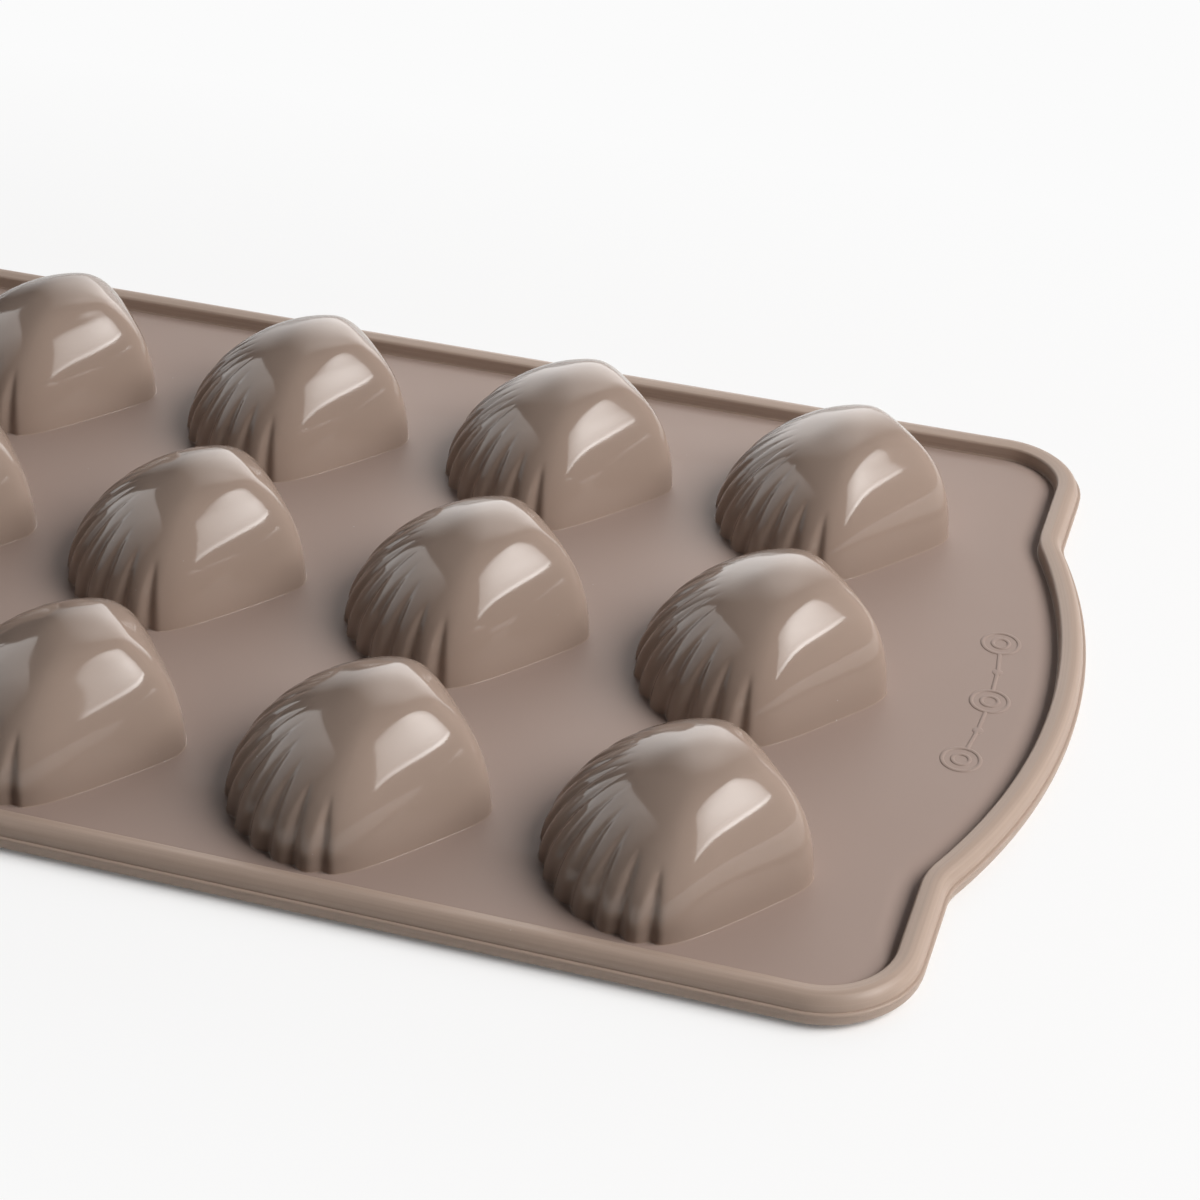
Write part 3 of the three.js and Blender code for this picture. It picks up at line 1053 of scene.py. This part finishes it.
def gap_to_tray(tree):
    """How far a point of the table lies outside the tray's outline, as a field."""
    place = tree.add("ShaderNodeSeparateXYZ", {}, {"Vector": tree.add("ShaderNodeTexCoord")["Object"]})
    x = place["X"].maths("ABSOLUTE", place["X"])
    y = place["Y"].maths("ABSOLUTE", place["Y"])
    past_x = (x - (half_ear - corner_radius)).most(0)
    past_y = (y - (half_width - corner_radius)).most(0)
    body = (past_x * past_x + past_y * past_y).root() - corner_radius
    from_centre = x - bulge_centre
    handle = ((from_centre * from_centre + y * y).root() - bulge_radius).most(y - bulge_half_width)
    return body.least(handle)


plain_white = (0.965, 0.965, 0.965, 1)


def floor_material():
    """White and matt. Close to the tray it shows its real shade and a painted shade, and plain white further
    off.
    """
    material, tree = new_material("white_table")
    gap = gap_to_tray(tree)
    painted_shade_width = 1.7 * MM
    overhang = 1.4 * MM
    plain_start = 20 * MM
    plain_length = 90 * MM
    # Painted shade: this rises to 1 at the tray's outline and takes plain white away there.
    near = (math.e ** (0 - (gap + overhang) / painted_shade_width)).least(1)
    far = ((gap - plain_start) / plain_length).clamped()
    camera_ray = tree.add("ShaderNodeLightPath")["Is Camera Ray"]
    matt = tree.add("ShaderNodeBsdfDiffuse", {}, {"Color": (0.93, 0.925, 0.92, 1)})["BSDF"]
    white = tree.add("ShaderNodeEmission", {}, {"Color": plain_white, "Strength": 1.0})["Emission"]
    # The share of plain white is small under the tray's edge, large round it and whole further off, so a
    # painted shade darkens the table along the tray's edge on top of its real shadow.
    plain = camera_ray * (0.85 - 0.73 * near + 0.15 * far)
    shader = tree.add("ShaderNodeMixShader", {}, {0: plain, 1: matt, 2: white})["Shader"]
    tree.add("ShaderNodeOutputMaterial", {}, {"Surface": shader})
    return material


floor_half = 6.0
floor_drop = 0.1 * MM
flat_stage("table_top", [
    (-floor_half, -floor_half, -floor_drop), (floor_half, -floor_half, -floor_drop),
    (floor_half, floor_half, -floor_drop), (-floor_half, floor_half, -floor_drop)], floor_material())
print("table:", 2 * floor_half, "m wide")

# %% [markdown]
# ## What the cups mirror
#
# Polished silicone shows the studio, so the studio has to be there. A glowing card high on the right
# is the picture of the soft box, the bright window with a hot middle. A second card stands behind the
# tray and draws the pale band on the crests, and a third, on the left, greys the ribs. The front
# stays dark, so that the cups' left fronts fall into shade. The cards light nothing: they are only
# seen in reflections.


# %% Cards
def card_material(name, strength, brightness):
    """A glowing card. Brightness is worked out from how far a point lies along and up the card."""
    material, tree = new_material(name)
    spot = tree.add("ShaderNodeSeparateXYZ", {}, {"Vector": tree.add("ShaderNodeTexCoord")["UV"]})
    level = brightness(spot["X"], spot["Y"])
    colour = mixed(tree, level, (0, 0, 0, 1), (1.0, 0.985, 0.97, 1))
    glow = tree.add("ShaderNodeEmission", {}, {"Color": colour, "Strength": strength})["Emission"]
    tree.add("ShaderNodeOutputMaterial", {}, {"Surface": glow})
    return material


# In the next three, along and up go from 0 to 1, and brightness is a share of the card's strength.
def window_brightness(along, up):
    """Hot in the middle, dim to the left, with a bright lower hem, as a soft box's cloth is."""
    middle_along = 0.56
    middle_up = 0.5
    spread_along = 0.37
    spread_up = 0.62
    full_level = 1.4
    off_along = (along - middle_along) / spread_along
    off_up = (up - middle_up) / spread_up
    middle = math.e ** (0 - off_along * off_along - off_up * off_up)
    lower_hem = ((0.11 - up) / 0.05).clamped() * 1.1
    left_hem = ((0.05 - along) / 0.03).clamped() * 0.15
    top_fade = ((1 - up) / 0.14).clamped()
    return (0.24 + 0.76 * middle) * (1 + lower_hem + left_hem) * (0.35 + 0.65 * top_fade) / full_level


def band_brightness(along, up):
    """Brightest a little above its foot, dimmer above and fading out at the top and at both sides."""
    foot = 0.72 + 0.28 * (up / 0.12).least(1)
    lower_part = foot - 0.3 * ((up - 0.15) / 0.14).clamped()
    fade = ((1 - up) / 0.55).least(1)
    sides = (along / 0.25).least(1) * ((1 - along) / 0.45).least(1)
    return lower_part * fade * sides


def wall_brightness(along, up):
    """A plain wall that fades out softly towards the front and towards the table."""
    front_fade = ((1 - along) / 0.3).least(1)
    foot_fade = (up / 0.25).least(1)
    return (0.15 + 0.85 * front_fade) * (0.4 + 0.6 * foot_fade)


cups_middle = Vector((75, -28, 15)) * MM


def seen_direction(azimuth, elevation):
    """The direction at these angles, in degrees from +X towards +Y and up from the table."""
    azimuth = math.radians(azimuth)
    elevation = math.radians(elevation)
    return Vector((
        math.cos(azimuth) * math.cos(elevation),
        math.sin(azimuth) * math.cos(elevation),
        math.sin(elevation)))


def card(name, corners, material):
    """A card that the polished cups mirror. Corners: azimuth, elevation and distance from the cups."""
    places = []
    for azimuth, elevation, distance in corners:
        places.append(cups_middle + seen_direction(azimuth, elevation) * distance)
    piece = flat_stage(name, places, material)
    layer = piece.data.uv_layers.new(name="UVMap")
    for loop, corner in zip(layer.data, ((0, 0), (1, 0), (1, 1), (0, 1))):
        loop.uv = corner
    piece.visible_camera = False
    piece.visible_diffuse = False
    piece.visible_shadow = False
    print(f"{name}: {(places[1] - places[0]).length:.2f} m along its foot")


card("key_window", [(-28, 15, 1.14), (4, 30, 1.46), (19.5, 58.5, 1.9), (-23, 59.5, 1.37)],
     card_material("window_cloth", strength=16.0, brightness=window_brightness))
card("back_band", [(76, -2.5, 0.34), (140, -2.1, 0.4), (140, 64.6, 0.932), (76, 68, 0.908)],
     card_material("back_wall", strength=2.75, brightness=band_brightness))
card("left_wall", [(145, 0, 2.92), (217, 0, 1.0), (217, 57, 1.84), (145, 27.8, 3.3)],
     card_material("side_wall", strength=2.2, brightness=wall_brightness))

# %% [markdown]
# ## Lamps and backdrop
#
# The main light is one large soft box in the place of the bright window, and three weak ones behind
# and on the left fill the shade. The lamps themselves show in no reflection, because the cards give
# a softer picture of them. The backdrop is plain white to the camera. The cups mirror a nearly dark
# room, as the real ones do.


# %% Lamps and backdrop
def soft_box(name, azimuth, elevation, distance, width, height, radiance, colour=(1, 1, 1)):
    """A rectangular lamp in this direction from the cups. Its strength is given as its brightness."""
    data = bpy.data.lights.new(name, "AREA")
    data.shape = "RECTANGLE"
    data.size = width
    data.size_y = height
    data.energy = radiance * math.pi * width * height
    data.color = colour
    lamp = in_scene(name, data)
    towards = seen_direction(azimuth, elevation)
    lamp.location = cups_middle + towards * distance
    lamp.rotation_euler = towards.to_track_quat("Z", "Y").to_euler()
    lamp.visible_camera = False
    lamp.visible_glossy = False


soft_box("key_soft_box", azimuth=1, elevation=41, distance=1.15, width=0.75, height=0.76,
         radiance=9.0, colour=(1.0, 0.975, 0.95))
soft_box("back_soft_box", azimuth=100, elevation=28, distance=1.2, width=1.2, height=0.8, radiance=0.75)
soft_box("low_back_soft_box", azimuth=62, elevation=16, distance=1.3, width=1.2, height=0.5, radiance=2.4)
soft_box("left_soft_box", azimuth=178, elevation=22, distance=1.5, width=1.8, height=1.1, radiance=0.35)

world = bpy.data.worlds.new("studio")
world.use_nodes = True
world.node_tree.nodes.clear()
air = Tree(world.node_tree)
dim = air.add("ShaderNodeBackground", {}, {"Color": (0.95, 0.97, 1.0, 1), "Strength": 0.03})["Background"]
white = air.add("ShaderNodeBackground", {}, {"Color": plain_white, "Strength": 1.0})["Background"]
seen = air.add("ShaderNodeLightPath")
backdrop = air.add("ShaderNodeMixShader", {}, {
    0: seen["Is Camera Ray"].most(seen["Is Transmission Ray"]), 1: dim, 2: white})["Shader"]
air.add("ShaderNodeOutputWorld", {}, {"Surface": backdrop})
bpy.context.scene.world = world
print("lamps:", [light.name for light in bpy.data.lights])

# %% [markdown]
# ## Bring the scene up to date
#
# The last cell brings the view layer up to date.

# %% Bring the scene up to date
bpy.context.view_layer.update()
